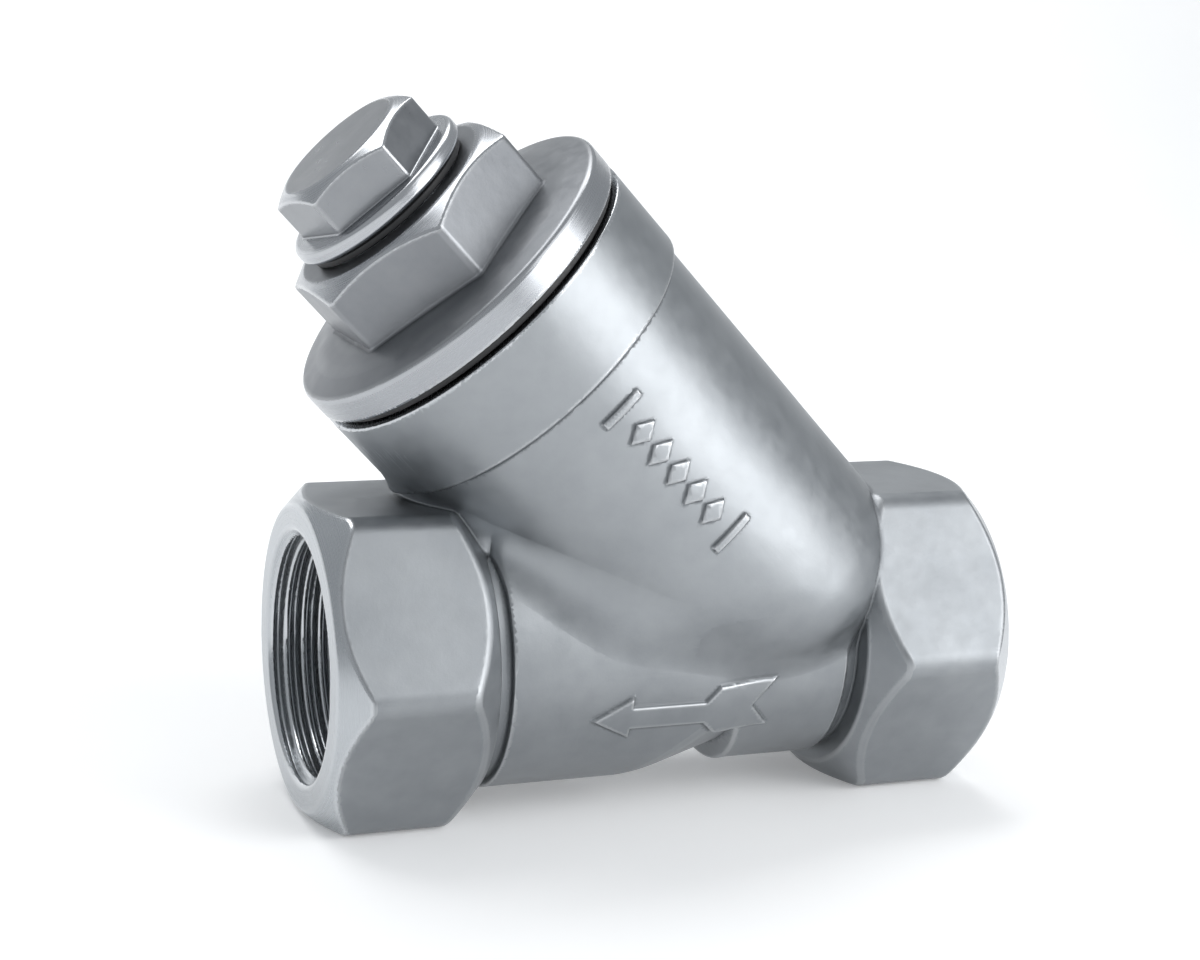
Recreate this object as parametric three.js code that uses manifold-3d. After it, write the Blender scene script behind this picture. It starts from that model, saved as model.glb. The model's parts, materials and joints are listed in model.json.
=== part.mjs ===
// Y strainer, one inch, with threaded hexagonal ends and a screwed cap.
// Millimetres, +Z up. The run lies along X: liquid enters at +X and leaves at -X.
// The branch rises towards -X. It holds the screen, and the cap closes it.
import * as THREE from 'three';
import { mergeVertices } from 'three/addons/utils/BufferGeometryUtils.js';
import Module from 'manifold-3d';

const wasm = await Module();
wasm.setup();

// ---- driving dimensions ----
const RAD = Math.PI / 180;
const GAP = 0.3; // clearance between pieces that touch or turn

// run
const END_AF = 41; // across the flats of the two hexagonal ends
const END_CORNER = 3.4; // rounding of the long edges
const END_LENGTH = 21.2;
const FACE_TO_FACE = 93;
const END_CHAMFER_R = 19.5; // where the outer 45 degree chamfer meets the end face
const NECK_CHAMFER_R = 19; // the same on the inboard side
const RUN_OUTLET_R = 18.4;
const RUN_INLET_R = 17.3;
const RUN_TAPER_FROM = 3; // the run narrows between these two stations
const RUN_TAPER_TO = 12;
const PORT_THREAD_R = 15.2; // crest of the one inch pipe thread, drawn as a plain bore
const PORT_MOUTH_R = 16.2;
const PORT_DEPTH = 17;
const PASSAGE_R = 13;

// waist underneath, between the two halves of the run
const WAIST_FROM = -5;
const WAIST_DEEPEST = 8.2;
const WAIST_TO = 10.3;
const WAIST_R = 14.6; // metal left below the run axis at the deepest point
const WAIST_RISE = 6; // how far the waist's own axis stands above the run axis

// branch, measured along its own axis from the point where it meets the run axis
const BRANCH_ANGLE = 46;
const BRANCH_X = 20.06; // where the branch axis meets the run axis
const BRANCH_R = 23;
const DOME_CENTRE = 15; // centre of the rounded lower end
const COLLAR_R = 23.8;
const COLLAR_FROM = 52.8;
const MOUTH = 64.6; // machined face under the cap's gasket
const CAP_BORE_R = 20.2; // tapped bore, drawn plain
const CAP_BORE_TO = 50;
const CHAMBER_R = 19.2; // annular space around the screen
const SEAT = 10; // shoulder that the screen's lower end rests on
const SEAT_RECESS_R = 16.3;
const SEAT_RECESS_DEPTH = 3;
const SEAT_BORE_R = 12.9;

// cap
const FLANGE_R = 23.8;
const FLANGE_RIM_R = 23.3;
const FLANGE_FROM = 65.8;
const FLANGE_TO = 69.8;
const CAP_AF = 30;
const CAP_HEX_FROM = 71;
const CAP_TOP = 80.3;
const CAP_CHAMFER_R = 14.3;
const CAP_CORNER = 1.2;
const CAP_CORNER_AT = 30; // where the first corner stands, degrees round the branch
const CAP_THREAD_R = CAP_BORE_R - GAP;
const CAP_RELIEF_R = 19.1;
const CAP_END = 52;
const CAP_RECESS_R = SEAT_RECESS_R;
const CAP_RECESS_TO = 59;
const CAP_CAVITY_R = 13;
const CAP_CAVITY_TO = 70;

// blow-down plug
const PLUG_BORE_R = 10.5; // half inch parallel pipe thread, drawn plain
const PLUG_COLLAR_R = 12.7;
const PLUG_COLLAR_FROM = 81.5;
const PLUG_COLLAR_TO = 83.7;
const PLUG_AF = 19;
const PLUG_TOP = 89.9;
const PLUG_CHAMFER_R = 8.6;
const PLUG_CORNER = 0.8;
const PLUG_END = 68;
const PLUG_CORNER_AT = 43; // where the first corner stands, degrees round the branch

// gaskets
const CAP_GASKET = { from: 64.8, to: 65.6, inner: 20.5, outer: 22.8 };
const PLUG_GASKET = { from: 80.5, to: 81.3, inner: 10.8, outer: 11.7 };

// screen
const SCREEN_FROM = SEAT + 0.2;
const SCREEN_TO = CAP_RECESS_TO - 0.2;
const SHEET_OUTER_R = 15.2;
const SHEET_INNER_R = 14.5;
const LINER_OUTER_R = 14.2;
const LINER_INNER_R = 13.8;
const RING_WALL = 0.45;
const RING_OUTER_R = SHEET_OUTER_R + GAP + RING_WALL;
const RING_INNER_R = LINER_INNER_R - GAP - RING_WALL;
const RING_FLOOR = 0.8;
const RING_HEIGHT = 4;
const HOLE_R = 1.5;
const HOLE_ROWS = 7;
const HOLE_COLUMNS = 11;
const SEAM_WIDTH = 18; // degrees, standing astride the branch's +X side
const SEAM_THICKNESS = 0.4;

// flow arrow and size-mark bars, raised on the casting
const RELIEF = 0.5;
const ARROW_TILT = 17.5; // degrees below the horizontal, on both sides of the run
const MARK_STATIONS = [26, 48.2];
const MARK_TILT = 2.5;
const MARK_LENGTH = 6.2;
const MARK_WIDTH = 1.1;

const HALF = FACE_TO_FACE / 2;

// ---- solids ----
function signedVolume(geometry) {
  const position = geometry.getAttribute('position');
  const index = geometry.getIndex();
  const corners = [new THREE.Vector3(), new THREE.Vector3(), new THREE.Vector3()];
  let volume = 0;
  for (let i = 0; i < index.count; i += 3) {
    corners.forEach((corner, k) => corner.fromBufferAttribute(position, index.getX(i + k)));
    volume += corners[0].dot(corners[1].clone().cross(corners[2])) / 6;
  }
  return volume;
}

// A closed three.js geometry as a solid whose faces point out.
function solid(geometry) {
  const bare = geometry.clone();
  bare.deleteAttribute('normal');
  bare.deleteAttribute('uv');
  const merged = mergeVertices(bare, 1e-4);
  const index = Array.from(merged.getIndex().array);
  const triangles = [];
  const turn = signedVolume(merged) < 0;
  for (let i = 0; i < index.length; i += 3) {
    const [a, b, c] = index.slice(i, i + 3);
    if (a !== b && b !== c && c !== a) triangles.push(...(turn ? [a, c, b] : [a, b, c]));
  }
  return new wasm.Manifold(new wasm.Mesh({
    numProp: 3,
    vertProperties: new Float32Array(merged.getAttribute('position').array),
    triVerts: new Uint32Array(triangles),
  }));
}

function piece(name, shape, material) {
  const data = shape.getMesh();
  const geometry = new THREE.BufferGeometry();
  geometry.setAttribute('position', new THREE.BufferAttribute(new Float32Array(data.vertProperties), 3));
  geometry.setIndex(new THREE.BufferAttribute(new Uint32Array(data.triVerts), 1));
  geometry.computeVertexNormals();
  const mesh = new THREE.Mesh(geometry, material);
  mesh.name = name;
  return mesh;
}

// A [radius, height] outline turned about +Z. It starts and ends on the axis, or closes on itself.
function turned(outline, segments) {
  const points = outline.map(([radius, height]) => new THREE.Vector2(radius, height));
  return new THREE.LatheGeometry(points, segments).rotateX(Math.PI / 2);
}

function cylinder(radius, from, to, segments) {
  return turned([[0, from], [radius, from], [radius, to], [0, to]], segments);
}

function ring(inner, outer, from, to, segments) {
  return turned([[inner, from], [outer, from], [outer, to], [inner, to], [inner, from]], segments);
}

// A geometry built about +Z, laid along the run so that its +Z becomes +X.
function alongRun(geometry) {
  return geometry.clone().rotateY(Math.PI / 2);
}

// Arc points of a circle, from one angle to another, in degrees.
function arc(centre, radius, fromAngle, toAngle, steps) {
  return Array.from({ length: steps + 1 }, (_, i) => {
    const angle = (fromAngle + (toAngle - fromAngle) * i / steps) * RAD;
    return [centre[0] + radius * Math.cos(angle), centre[1] + radius * Math.sin(angle)];
  });
}

// Hexagonal bar with rounded corners about +Z. The first corner stands at the given angle from +X.
function hexagonBar(acrossFlats, corner, from, to, firstCorner, steps) {
  const centreR = (acrossFlats / 2 - corner) / Math.cos(30 * RAD);
  const outline = [0, 1, 2, 3, 4, 5].flatMap((k) => {
    const angle = firstCorner + 60 * k;
    const centre = [centreR * Math.cos(angle * RAD), centreR * Math.sin(angle * RAD)];
    return arc(centre, corner, angle - 30, angle + 30, steps);
  });
  const shape = new THREE.Shape(outline.map(([x, y]) => new THREE.Vector2(x, y)));
  return new THREE.ExtrudeGeometry(shape, { depth: to - from, bevelEnabled: false }).translate(0, 0, from);
}

// ---- body ----
const branch = new THREE.Group();
branch.position.x = BRANCH_X;
branch.rotation.y = -(90 - BRANCH_ANGLE) * RAD;
branch.updateMatrix();

function onBranch(geometry) {
  return geometry.clone().applyMatrix4(branch.matrix);
}

// One hexagonal end, chamfered at 45 degrees inside and out. It points to +X.
function hexagonalEnd() {
  const inboard = HALF - END_LENGTH;
  const widest = END_AF / 2 / Math.cos(30 * RAD) + 1;
  const bar = hexagonBar(END_AF, END_CORNER, inboard, HALF, 90, 3);
  const envelope = turned([
    [0, inboard],
    [NECK_CHAMFER_R, inboard],
    [widest, inboard + widest - NECK_CHAMFER_R],
    [widest, HALF - widest + END_CHAMFER_R],
    [END_CHAMFER_R, HALF],
    [0, HALF],
  ], 60);
  return solid(alongRun(bar)).intersect(solid(alongRun(envelope)));
}

function runOutline(extra) {
  return [
    [0, -HALF + END_LENGTH / 2],
    [RUN_OUTLET_R + extra, -HALF + END_LENGTH / 2],
    [RUN_OUTLET_R + extra, RUN_TAPER_FROM],
    [RUN_INLET_R + extra, RUN_TAPER_TO],
    [RUN_INLET_R + extra, HALF - END_LENGTH / 2],
    [0, HALF - END_LENGTH / 2],
  ];
}

// Ring that cuts the waist. It is centred above the run axis, so the cut fades out up both sides.
function waistCut() {
  const outline = [
    [RUN_OUTLET_R, WAIST_FROM],
    [WAIST_R, WAIST_DEEPEST],
    [RUN_INLET_R, WAIST_TO],
    [END_AF, WAIST_TO],
    [END_AF, WAIST_FROM],
    [RUN_OUTLET_R, WAIST_FROM],
  ].map(([radius, station]) => [radius + WAIST_RISE, station]);
  return solid(alongRun(turned(outline, 60)).translate(0, 0, WAIST_RISE));
}

function branchBarrel() {
  const dome = arc([0, DOME_CENTRE], BRANCH_R, -90, 0, 9);
  return solid(onBranch(turned([
    ...dome,
    [BRANCH_R, COLLAR_FROM - 0.4],
    [COLLAR_R, COLLAR_FROM + 0.4],
    [COLLAR_R, MOUTH - 0.5],
    [COLLAR_R - 0.5, MOUTH],
    [0, MOUTH],
  ], 60)));
}

// Flow arrow, drawn pointing to -X in the plane of the run and wrapped to the run by an intersection.
function flowArrow(side) {
  const half = [
    [-12.7, 0], [-7.3, 3.1], [-7.3, 1.6], [2.8, 1.6], [4.7, 3.6], [13, 3.6], [10, 0],
  ];
  const outline = [...half, ...half.slice(1, -1).reverse().map(([x, y]) => [x, -y])];
  const shape = new THREE.Shape(outline.map(([x, y]) => new THREE.Vector2(x, y)));
  const prism = new THREE.ExtrudeGeometry(shape, { depth: RUN_OUTLET_R, bevelEnabled: false });
  prism.translate(0, 0, PASSAGE_R + 1).rotateX((90 + ARROW_TILT) * RAD * side);
  const skin = solid(alongRun(turned(runOutline(RELIEF), 60)));
  return solid(prism).intersect(skin);
}

// Short cross bar, one at each end of the place for the size mark.
function markBar(station, side) {
  const bar = new THREE.BoxGeometry(BRANCH_R, MARK_LENGTH, MARK_WIDTH);
  bar.translate(BRANCH_R - 2, 0, station).rotateZ((-90 + MARK_TILT) * side * RAD);
  const skin = solid(onBranch(cylinder(BRANCH_R + RELIEF, SEAT, COLLAR_FROM, 60)));
  return solid(onBranch(bar)).intersect(skin);
}

function port() {
  return solid(alongRun(turned([
    [0, BRANCH_X],
    [PASSAGE_R, BRANCH_X],
    [PASSAGE_R, HALF - PORT_DEPTH - (PORT_THREAD_R - PASSAGE_R)],
    [PORT_THREAD_R, HALF - PORT_DEPTH],
    [PORT_THREAD_R, HALF - (PORT_MOUTH_R - PORT_THREAD_R)],
    [PORT_MOUTH_R, HALF],
    [PORT_MOUTH_R, HALF + 1],
    [0, HALF + 1],
  ], 48)));
}

// The outlet side of the run, cut short by the wall that carries the screen's seat.
function outletPassage() {
  const reach = solid(alongRun(cylinder(PASSAGE_R, -BRANCH_X - 1, BRANCH_X, 48)));
  const wall = new THREE.BoxGeometry(4 * HALF, 4 * HALF, 2 * HALF);
  wall.translate(0, 0, SEAT + SEAT_RECESS_DEPTH - HALF);
  return reach.subtract(solid(onBranch(wall)));
}

function branchBore() {
  return solid(onBranch(turned([
    [0, 0],
    [SEAT_BORE_R, 0],
    [SEAT_BORE_R, SEAT],
    [SEAT_RECESS_R, SEAT],
    [SEAT_RECESS_R, SEAT + SEAT_RECESS_DEPTH],
    [CHAMBER_R, SEAT + SEAT_RECESS_DEPTH],
    [CHAMBER_R, CAP_BORE_TO - 1],
    [CAP_BORE_R, CAP_BORE_TO],
    [CAP_BORE_R, MOUTH + 1],
    [0, MOUTH + 1],
  ], 60)));
}

function castBody() {
  const halfTurn = new THREE.Matrix4().makeRotationZ(Math.PI);
  const inletEnd = hexagonalEnd();
  const outletEnd = inletEnd.transform(halfTurn.toArray());
  const outside = [
    outletEnd,
    branchBarrel(),
    solid(alongRun(turned(runOutline(0), 60))).subtract(waistCut()),
    ...[1, -1].map(flowArrow),
    ...[1, -1].flatMap((side) => MARK_STATIONS.map((station) => markBar(station, side))),
  ].reduce((all, shape) => all.add(shape), inletEnd);
  const inletPort = port();
  return [
    inletPort,
    inletPort.transform(halfTurn.toArray()),
    outletPassage(),
    solid(new THREE.SphereGeometry(PASSAGE_R, 48, 24).rotateX(Math.PI / 2).translate(BRANCH_X, 0, 0)),
    branchBore(),
  ].reduce((all, shape) => all.subtract(shape), outside);
}

// ---- cap ----
function capShape() {
  const hexagon = solid(hexagonBar(CAP_AF, CAP_CORNER, FLANGE_TO - 1, CAP_TOP, CAP_CORNER_AT, 2));
  const cornerR = CAP_AF / 2 / Math.cos(30 * RAD) + 1;
  const slope = Math.tan(30 * RAD);
  const envelope = solid(turned([
    [0, FLANGE_TO - 2],
    [cornerR, FLANGE_TO - 2],
    [cornerR, CAP_TOP - (cornerR - CAP_CHAMFER_R) * slope],
    [CAP_CHAMFER_R, CAP_TOP],
    [0, CAP_TOP],
  ], 60));
  const flange = solid(turned([
    [0, CAP_END],
    [CAP_THREAD_R - 1, CAP_END],
    [CAP_THREAD_R, CAP_END + 1],
    [CAP_THREAD_R, FLANGE_FROM - 3.4],
    [CAP_RELIEF_R, FLANGE_FROM - 2.6],
    [CAP_RELIEF_R, FLANGE_FROM],
    [FLANGE_R - 0.4, FLANGE_FROM],
    [FLANGE_R, FLANGE_FROM + 0.4],
    [FLANGE_R, FLANGE_TO - 0.9],
    [FLANGE_R - 0.25, FLANGE_TO - 0.25],
    [FLANGE_RIM_R - 0.4, FLANGE_TO],
    [CAP_AF / 2 + 3, CAP_HEX_FROM],
    [0, CAP_HEX_FROM],
  ], 60));
  const hollow = solid(turned([
    [0, CAP_END - 1],
    [CAP_RECESS_R, CAP_END - 1],
    [CAP_RECESS_R, CAP_RECESS_TO],
    [CAP_CAVITY_R, CAP_RECESS_TO],
    [CAP_CAVITY_R, CAP_CAVITY_TO - (CAP_CAVITY_R - PLUG_BORE_R)],
    [PLUG_BORE_R, CAP_CAVITY_TO],
    [PLUG_BORE_R, CAP_TOP + 1],
    [0, CAP_TOP + 1],
  ], 60));
  return hexagon.intersect(envelope).add(flange).subtract(hollow);
}

// ---- blow-down plug ----
function plugShape() {
  const bar = hexagonBar(PLUG_AF, PLUG_CORNER, PLUG_COLLAR_TO - 1, PLUG_TOP, PLUG_CORNER_AT, 2);
  const cornerR = PLUG_AF / 2 / Math.cos(30 * RAD) + 1;
  const slope = Math.tan(30 * RAD);
  const envelope = solid(turned([
    [0, PLUG_COLLAR_FROM],
    [cornerR, PLUG_COLLAR_FROM],
    [cornerR, PLUG_TOP - (cornerR - PLUG_CHAMFER_R) * slope],
    [PLUG_CHAMFER_R, PLUG_TOP],
    [0, PLUG_TOP],
  ], 48));
  const threadR = PLUG_BORE_R - GAP;
  const shank = solid(turned([
    [0, PLUG_END],
    [threadR - 1, PLUG_END],
    [threadR, PLUG_END + 1],
    [threadR, PLUG_COLLAR_FROM - 2],
    [threadR - 0.8, PLUG_COLLAR_FROM - 1.4],
    [threadR - 0.8, PLUG_COLLAR_FROM],
    [PLUG_COLLAR_R - 0.3, PLUG_COLLAR_FROM],
    [PLUG_COLLAR_R, PLUG_COLLAR_FROM + 0.3],
    [PLUG_COLLAR_R, PLUG_COLLAR_TO - 0.9],
    [PLUG_COLLAR_R - 0.35, PLUG_COLLAR_TO - 0.25],
    [PLUG_COLLAR_R - 1, PLUG_COLLAR_TO],
    [0, PLUG_COLLAR_TO],
  ], 48));
  return solid(bar).intersect(envelope).add(shank);
}

// ---- screen ----
const SHEET_FROM = SCREEN_FROM + RING_FLOOR + GAP;
const SHEET_TO = SCREEN_TO - RING_FLOOR - GAP;

// Rows of punched holes. Every second row is set half a step round, and the seam is left whole.
function perforatedSheet() {
  const sheet = solid(ring(SHEET_INNER_R, SHEET_OUTER_R, SHEET_FROM, SHEET_TO, 48));
  const clear = RING_HEIGHT + HOLE_R;
  const rise = (SHEET_TO - SHEET_FROM - 2 * clear) / (HOLE_ROWS - 1);
  const step = 360 / (HOLE_COLUMNS + 0.5);
  const punch = cylinder(HOLE_R, LINER_INNER_R, RING_OUTER_R, 6).rotateY(Math.PI / 2);
  let holed = sheet;
  for (let row = 0; row < HOLE_ROWS; row += 1) {
    for (let column = 0; column < HOLE_COLUMNS - (row % 2); column += 1) {
      const angle = step * (column + 0.75 + (row % 2) / 2);
      const height = SHEET_FROM + clear + rise * row;
      holed = holed.subtract(solid(punch.clone().rotateZ(angle * RAD).translate(0, 0, height)));
    }
  }
  return holed;
}

// Channel ring that takes the edge of the sheet and its liner. Its floor lies at the given height.
function endRing(floor, up) {
  return solid(turned([
    [RING_INNER_R, floor],
    [RING_OUTER_R, floor],
    [RING_OUTER_R, floor + up * RING_HEIGHT],
    [RING_OUTER_R - RING_WALL, floor + up * RING_HEIGHT],
    [RING_OUTER_R - RING_WALL, floor + up * RING_FLOOR],
    [RING_INNER_R + RING_WALL, floor + up * RING_FLOOR],
    [RING_INNER_R + RING_WALL, floor + up * RING_HEIGHT],
    [RING_INNER_R, floor + up * RING_HEIGHT],
    [RING_INNER_R, floor],
  ], 48));
}

// Backing strip along the rolled sheet's seam, between the two end rings.
function seamStrip() {
  const inner = SHEET_OUTER_R + GAP;
  const outer = inner + SEAM_THICKNESS;
  const outline = [
    ...arc([0, 0], outer, -SEAM_WIDTH / 2, SEAM_WIDTH / 2, 4),
    ...arc([0, 0], inner, SEAM_WIDTH / 2, -SEAM_WIDTH / 2, 4),
  ];
  const shape = new THREE.Shape(outline.map(([x, y]) => new THREE.Vector2(x, y)));
  const length = SCREEN_TO - SCREEN_FROM - 2 * (RING_HEIGHT + GAP);
  const strip = new THREE.ExtrudeGeometry(shape, { depth: length, bevelEnabled: false });
  return solid(strip.translate(0, 0, SCREEN_FROM + RING_HEIGHT + GAP));
}

// ---- materials ----
function metal(color, roughness, metalness) {
  return new THREE.MeshStandardMaterial({ color, roughness, metalness });
}

const castSteel = () => metal(0xb4babd, 0.42, 0.9);
const machinedSteel = () => metal(0xbfc4c6, 0.3, 0.95);
const sheetSteel = () => metal(0xa9aeb1, 0.35, 0.9);
const filledPtfe = () => metal(0x2b2b2e, 0.6, 0);

// ---- assembly ----
branch.add(
  piece('cap', capShape(), castSteel()),
  piece('cap_gasket', solid(ring(
    CAP_GASKET.inner, CAP_GASKET.outer, CAP_GASKET.from, CAP_GASKET.to, 48)), filledPtfe()),
  piece('blowdown_plug', plugShape(), machinedSteel()),
  piece('plug_gasket', solid(ring(
    PLUG_GASKET.inner, PLUG_GASKET.outer, PLUG_GASKET.from, PLUG_GASKET.to, 48)), filledPtfe()),
  piece('screen_perforated_tube', perforatedSheet(), sheetSteel()),
  piece('screen_mesh_liner', solid(ring(
    LINER_INNER_R, LINER_OUTER_R, SHEET_FROM, SHEET_TO, 48)), sheetSteel()),
  piece('screen_bottom_ring', endRing(SCREEN_FROM, 1), sheetSteel()),
  piece('screen_top_ring', endRing(SCREEN_TO, -1), sheetSteel()),
  piece('screen_seam_strip', seamStrip(), sheetSteel()),
);

const strainer = new THREE.Group();
strainer.name = 'y_strainer';
strainer.add(piece('body', castBody(), castSteel()), branch);

// The origin lies under the middle of the bounding box, on the plane that the hexagons rest on.
const box = new THREE.Box3().setFromObject(strainer, true);
strainer.position.set(-(box.min.x + box.max.x) / 2, 0, -box.min.z);

export default strainer;
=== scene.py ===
"""Looks of the one inch y strainer: fine meshes, metal finishes, light and camera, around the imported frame.

The casting, the cap and the plug are drawn as distance fields in millimetres and turned into meshes by dual
contouring, so that edges are rounded, walls blend in fillets and threads are real helices. The screen and the
gaskets are built from rings and grids of points.
"""

import json
import math

import bmesh
import bpy
import numpy as np
from mathutils import Matrix, Vector


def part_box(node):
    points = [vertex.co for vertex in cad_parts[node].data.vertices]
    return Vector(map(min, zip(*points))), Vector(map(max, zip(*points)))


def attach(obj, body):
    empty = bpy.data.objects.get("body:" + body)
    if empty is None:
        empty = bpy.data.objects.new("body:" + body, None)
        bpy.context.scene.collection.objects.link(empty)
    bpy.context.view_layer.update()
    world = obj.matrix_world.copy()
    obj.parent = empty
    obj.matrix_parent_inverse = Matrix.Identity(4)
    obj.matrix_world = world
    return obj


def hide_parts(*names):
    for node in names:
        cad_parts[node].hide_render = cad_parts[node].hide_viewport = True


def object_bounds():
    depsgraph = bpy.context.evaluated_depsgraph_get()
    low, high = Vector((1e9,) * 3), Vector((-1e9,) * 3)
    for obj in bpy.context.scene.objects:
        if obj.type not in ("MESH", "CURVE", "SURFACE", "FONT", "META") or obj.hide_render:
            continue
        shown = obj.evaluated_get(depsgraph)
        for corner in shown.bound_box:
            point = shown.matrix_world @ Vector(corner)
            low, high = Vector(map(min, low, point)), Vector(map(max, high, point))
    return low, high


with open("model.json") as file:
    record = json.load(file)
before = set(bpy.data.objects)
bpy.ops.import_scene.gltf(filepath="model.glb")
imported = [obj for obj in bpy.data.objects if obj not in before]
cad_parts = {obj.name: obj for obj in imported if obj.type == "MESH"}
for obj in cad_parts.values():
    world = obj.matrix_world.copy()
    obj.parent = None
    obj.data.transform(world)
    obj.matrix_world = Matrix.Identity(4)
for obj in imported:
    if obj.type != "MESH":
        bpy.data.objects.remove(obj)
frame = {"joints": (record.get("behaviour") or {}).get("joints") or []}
cad_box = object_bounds()

MM = 0.001

# ---- places taken from the frame ----
body_low, body_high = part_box("body")
joints = {joint["name"]: joint for joint in frame["joints"]}
BRANCH_POINT = Vector(joints["cap_turn"]["pos_m"])
BRANCH_AXIS = Vector(joints["cap_turn"]["axis"]).normalized()
BRANCH_SIDE = Vector((0, 1, 0)).cross(BRANCH_AXIS).normalized()
RUN_CENTRE = Vector(((body_low.x + body_high.x) / 2, 0, BRANCH_POINT.z))
HALF = (body_high.x - body_low.x) / 2 / MM
BRANCH_X = (BRANCH_POINT.x - RUN_CENTRE.x) / MM
RUN_FRAME = Matrix.Translation(RUN_CENTRE)
RUN_TURNING_FRAME = RUN_FRAME @ Matrix.Rotation(math.radians(90), 4, "Y")
BRANCH_FRAME = Matrix.Translation(BRANCH_POINT) @ Matrix(
    (BRANCH_SIDE, (0, 1, 0), BRANCH_AXIS)
).transposed().to_4x4()

# ---- sizes in millimetres, stations along the branch from where its axis meets the run's ----
# the run and its ends
END_AF = 41
END_CORNER = 3.4
END_LENGTH = 21.2
END_CHAMFER_R = 19.5
NECK_CHAMFER_R = 19
RUN_OUTLET_R = 18.4
RUN_INLET_R = 17.3
RUN_TAPER_FROM, RUN_TAPER_TO = 3, 12  # along the run, towards the inlet
PORT_CREST_R, PORT_ROOT_R, PORT_MOUTH_R = 15.2, 16.3, 16.4
PORT_DEPTH = 17
PORT_PITCH = 2.309
PASSAGE_R = 13
WAIST_STATIONS = (-7, -5, 8.2, 10.3, 11)
WAIST_RADII = (22, 18.4, 14.6, 17.3, 20)  # below the run axis, at those stations
WAIST_RISE = 6  # the waist is round about an axis this far above the run's
WAIST_SLANT = 0.8  # as SLANT, for the waist's gentler walls
NECK_GROOVE_WIDTH, NECK_GROOVE_DEPTH = 1.8, 1.2  # round the run, against each hexagon
NECK_FILLET = 0.3

# the branch
BRANCH_R = 23
# the barrel's lower end follows the photo, not the CAD's round dome: half an ellipsoid below this station
DOME_FROM, DOME_DEPTH = 9.5, 17
CHIN_HALF_WIDTH, CHIN_FLOOR, CHIN_CORNER = 32, -1.85, 19.5  # its underside, in the run's own directions
CHIN_EDGE = 8  # rounding between the ellipsoid and the underside
DOME_FILLET, BRANCH_FILLET = 2.5, 5.5  # where the branch meets the run, low down and on its barrel
BRANCH_FILLET_FROM, BRANCH_FILLET_TO = 10, 26
COLLAR_R = 23.8
COLLAR_FROM, COLLAR_RAMP = 52.8, 0.7
MOUTH = 64.6
CHAMBER_R = 19.2
SEAT = 10
SEAT_RECESS_R = 16.3
SEAT_RECESS_DEPTH = 3
SEAT_BORE_R = 12.9
GROUND_SHARE, GROUND_FADE = 0.25, 14  # the barrel is ground a little, less so towards the dome

# raised marks
ARROW_TILT = math.radians(17.5)
ARROW_HALF = [(-12.7, 0), (-7.3, 3.1), (-7.3, 1.6), (2.8, 1.6), (4.7, 3.6), (13, 3.6), (10, 0)]
ARROW_ROOM = (16, 7)  # half of the box that holds the arrow, along the run and across it
MARK_STATIONS = (26, 48.2)
MARK_TILT = math.radians(2.5)
MARK_LENGTH, MARK_WIDTH = 6.2, 1.1
MARK_HALF_ROOM, MARK_ROOM_FROM, MARK_ROOM_TO = 6, 22, 52  # the box that holds the mark
PAD_INSET = 4  # from a bar to the nearest lozenge's centre
PAD_COUNT, PAD_HALF_LENGTH, PAD_HALF_WIDTH = 5, 2.2, 1.4
RELIEF = 0.5

# the cap
CAP_BORE_R, CAP_BORE_TO = 20.2, 50
CAP_RECESS_TO, CAP_CAVITY_R, CAP_CAVITY_TO = 59, 13, 70
FLANGE_R, FLANGE_FROM, FLANGE_TO = 23.8, 65.8, 69.8
FLANGE_SLOPE_R, FLANGE_FOOT_R = 22.9, 18  # its top slopes up from the one to the other
CAP_AF, CAP_CORNER, CAP_CHAMFER_R, CAP_HEX_FROM, CAP_TOP = 30, 1.2, 14.3, 71, 80.3
CAP_THREAD = {
    "outer": 19.9, "depth": 0.9, "pitch": 2, "end": 52, "head": FLANGE_FROM,
    "relief": 19.1, "relief_length": 3.4, "relief_ramp": 0.8,
}

# the blow-down plug
PLUG_BORE_R = 10.5
PLUG_COLLAR_R, PLUG_COLLAR_FROM, PLUG_COLLAR_TO = 12.7, 81.5, 83.7
PLUG_AF, PLUG_CORNER, PLUG_CHAMFER_R, PLUG_TOP = 19, 0.8, 8.6, 89.9
PLUG_CORNER_AT = math.radians(43)
PLUG_THREAD = {
    "outer": 10.2, "depth": 0.8, "pitch": 1.814, "end": 68, "head": PLUG_COLLAR_FROM,
    "relief": 9.4, "relief_length": 2, "relief_ramp": 0.6,
}

# the gaskets and the screen
CAP_GASKET = (20.5, 22.8, 64.8, 65.6)  # inner and outer radius, lower and upper station
PLUG_GASKET = (10.8, 11.7, 80.5, 81.3)
SCREEN_FROM, SCREEN_TO = 10.2, 58.8
RING_OUTER_R, RING_INNER_R, RING_WALL, RING_FLOOR, RING_HEIGHT = 15.95, 13.05, 0.45, 0.8, 4
SHEET_FROM, SHEET_TO, SHEET_LAP = 11.3, 57.7, 3.4  # the plain bands at its ends are SHEET_LAP high
SHEET_INNER_R, SHEET_OUTER_R = 14.5, 15.2
LINER_INNER_R, LINER_OUTER_R = 13.8, 14.2
SEAM_R, SEAM_THICKNESS, SEAM_WIDTH = 15.5, 0.4, math.radians(18)
SEAM_EDGE, SEAM_EDGE_DROP = 0.3, 0.12  # width and depth of the strip's worn border
WELD_COUNT, WELD_OFFSET, WELD_R, WELD_DEPTH = 9, 1.3, 0.7, 0.14
SCREEN_GAP = 0.3  # clear space along the branch between the screen's pieces
HOLE_R, HOLE_ROWS, HOLE_COLUMNS, HOLE_SIDES = 0.75, 17, 40, 16
WIRE_R, UPRIGHT_WIRES, HOOP_WIRES, WIRE_GAP = 0.085, 64, 38, 0.01

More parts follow.
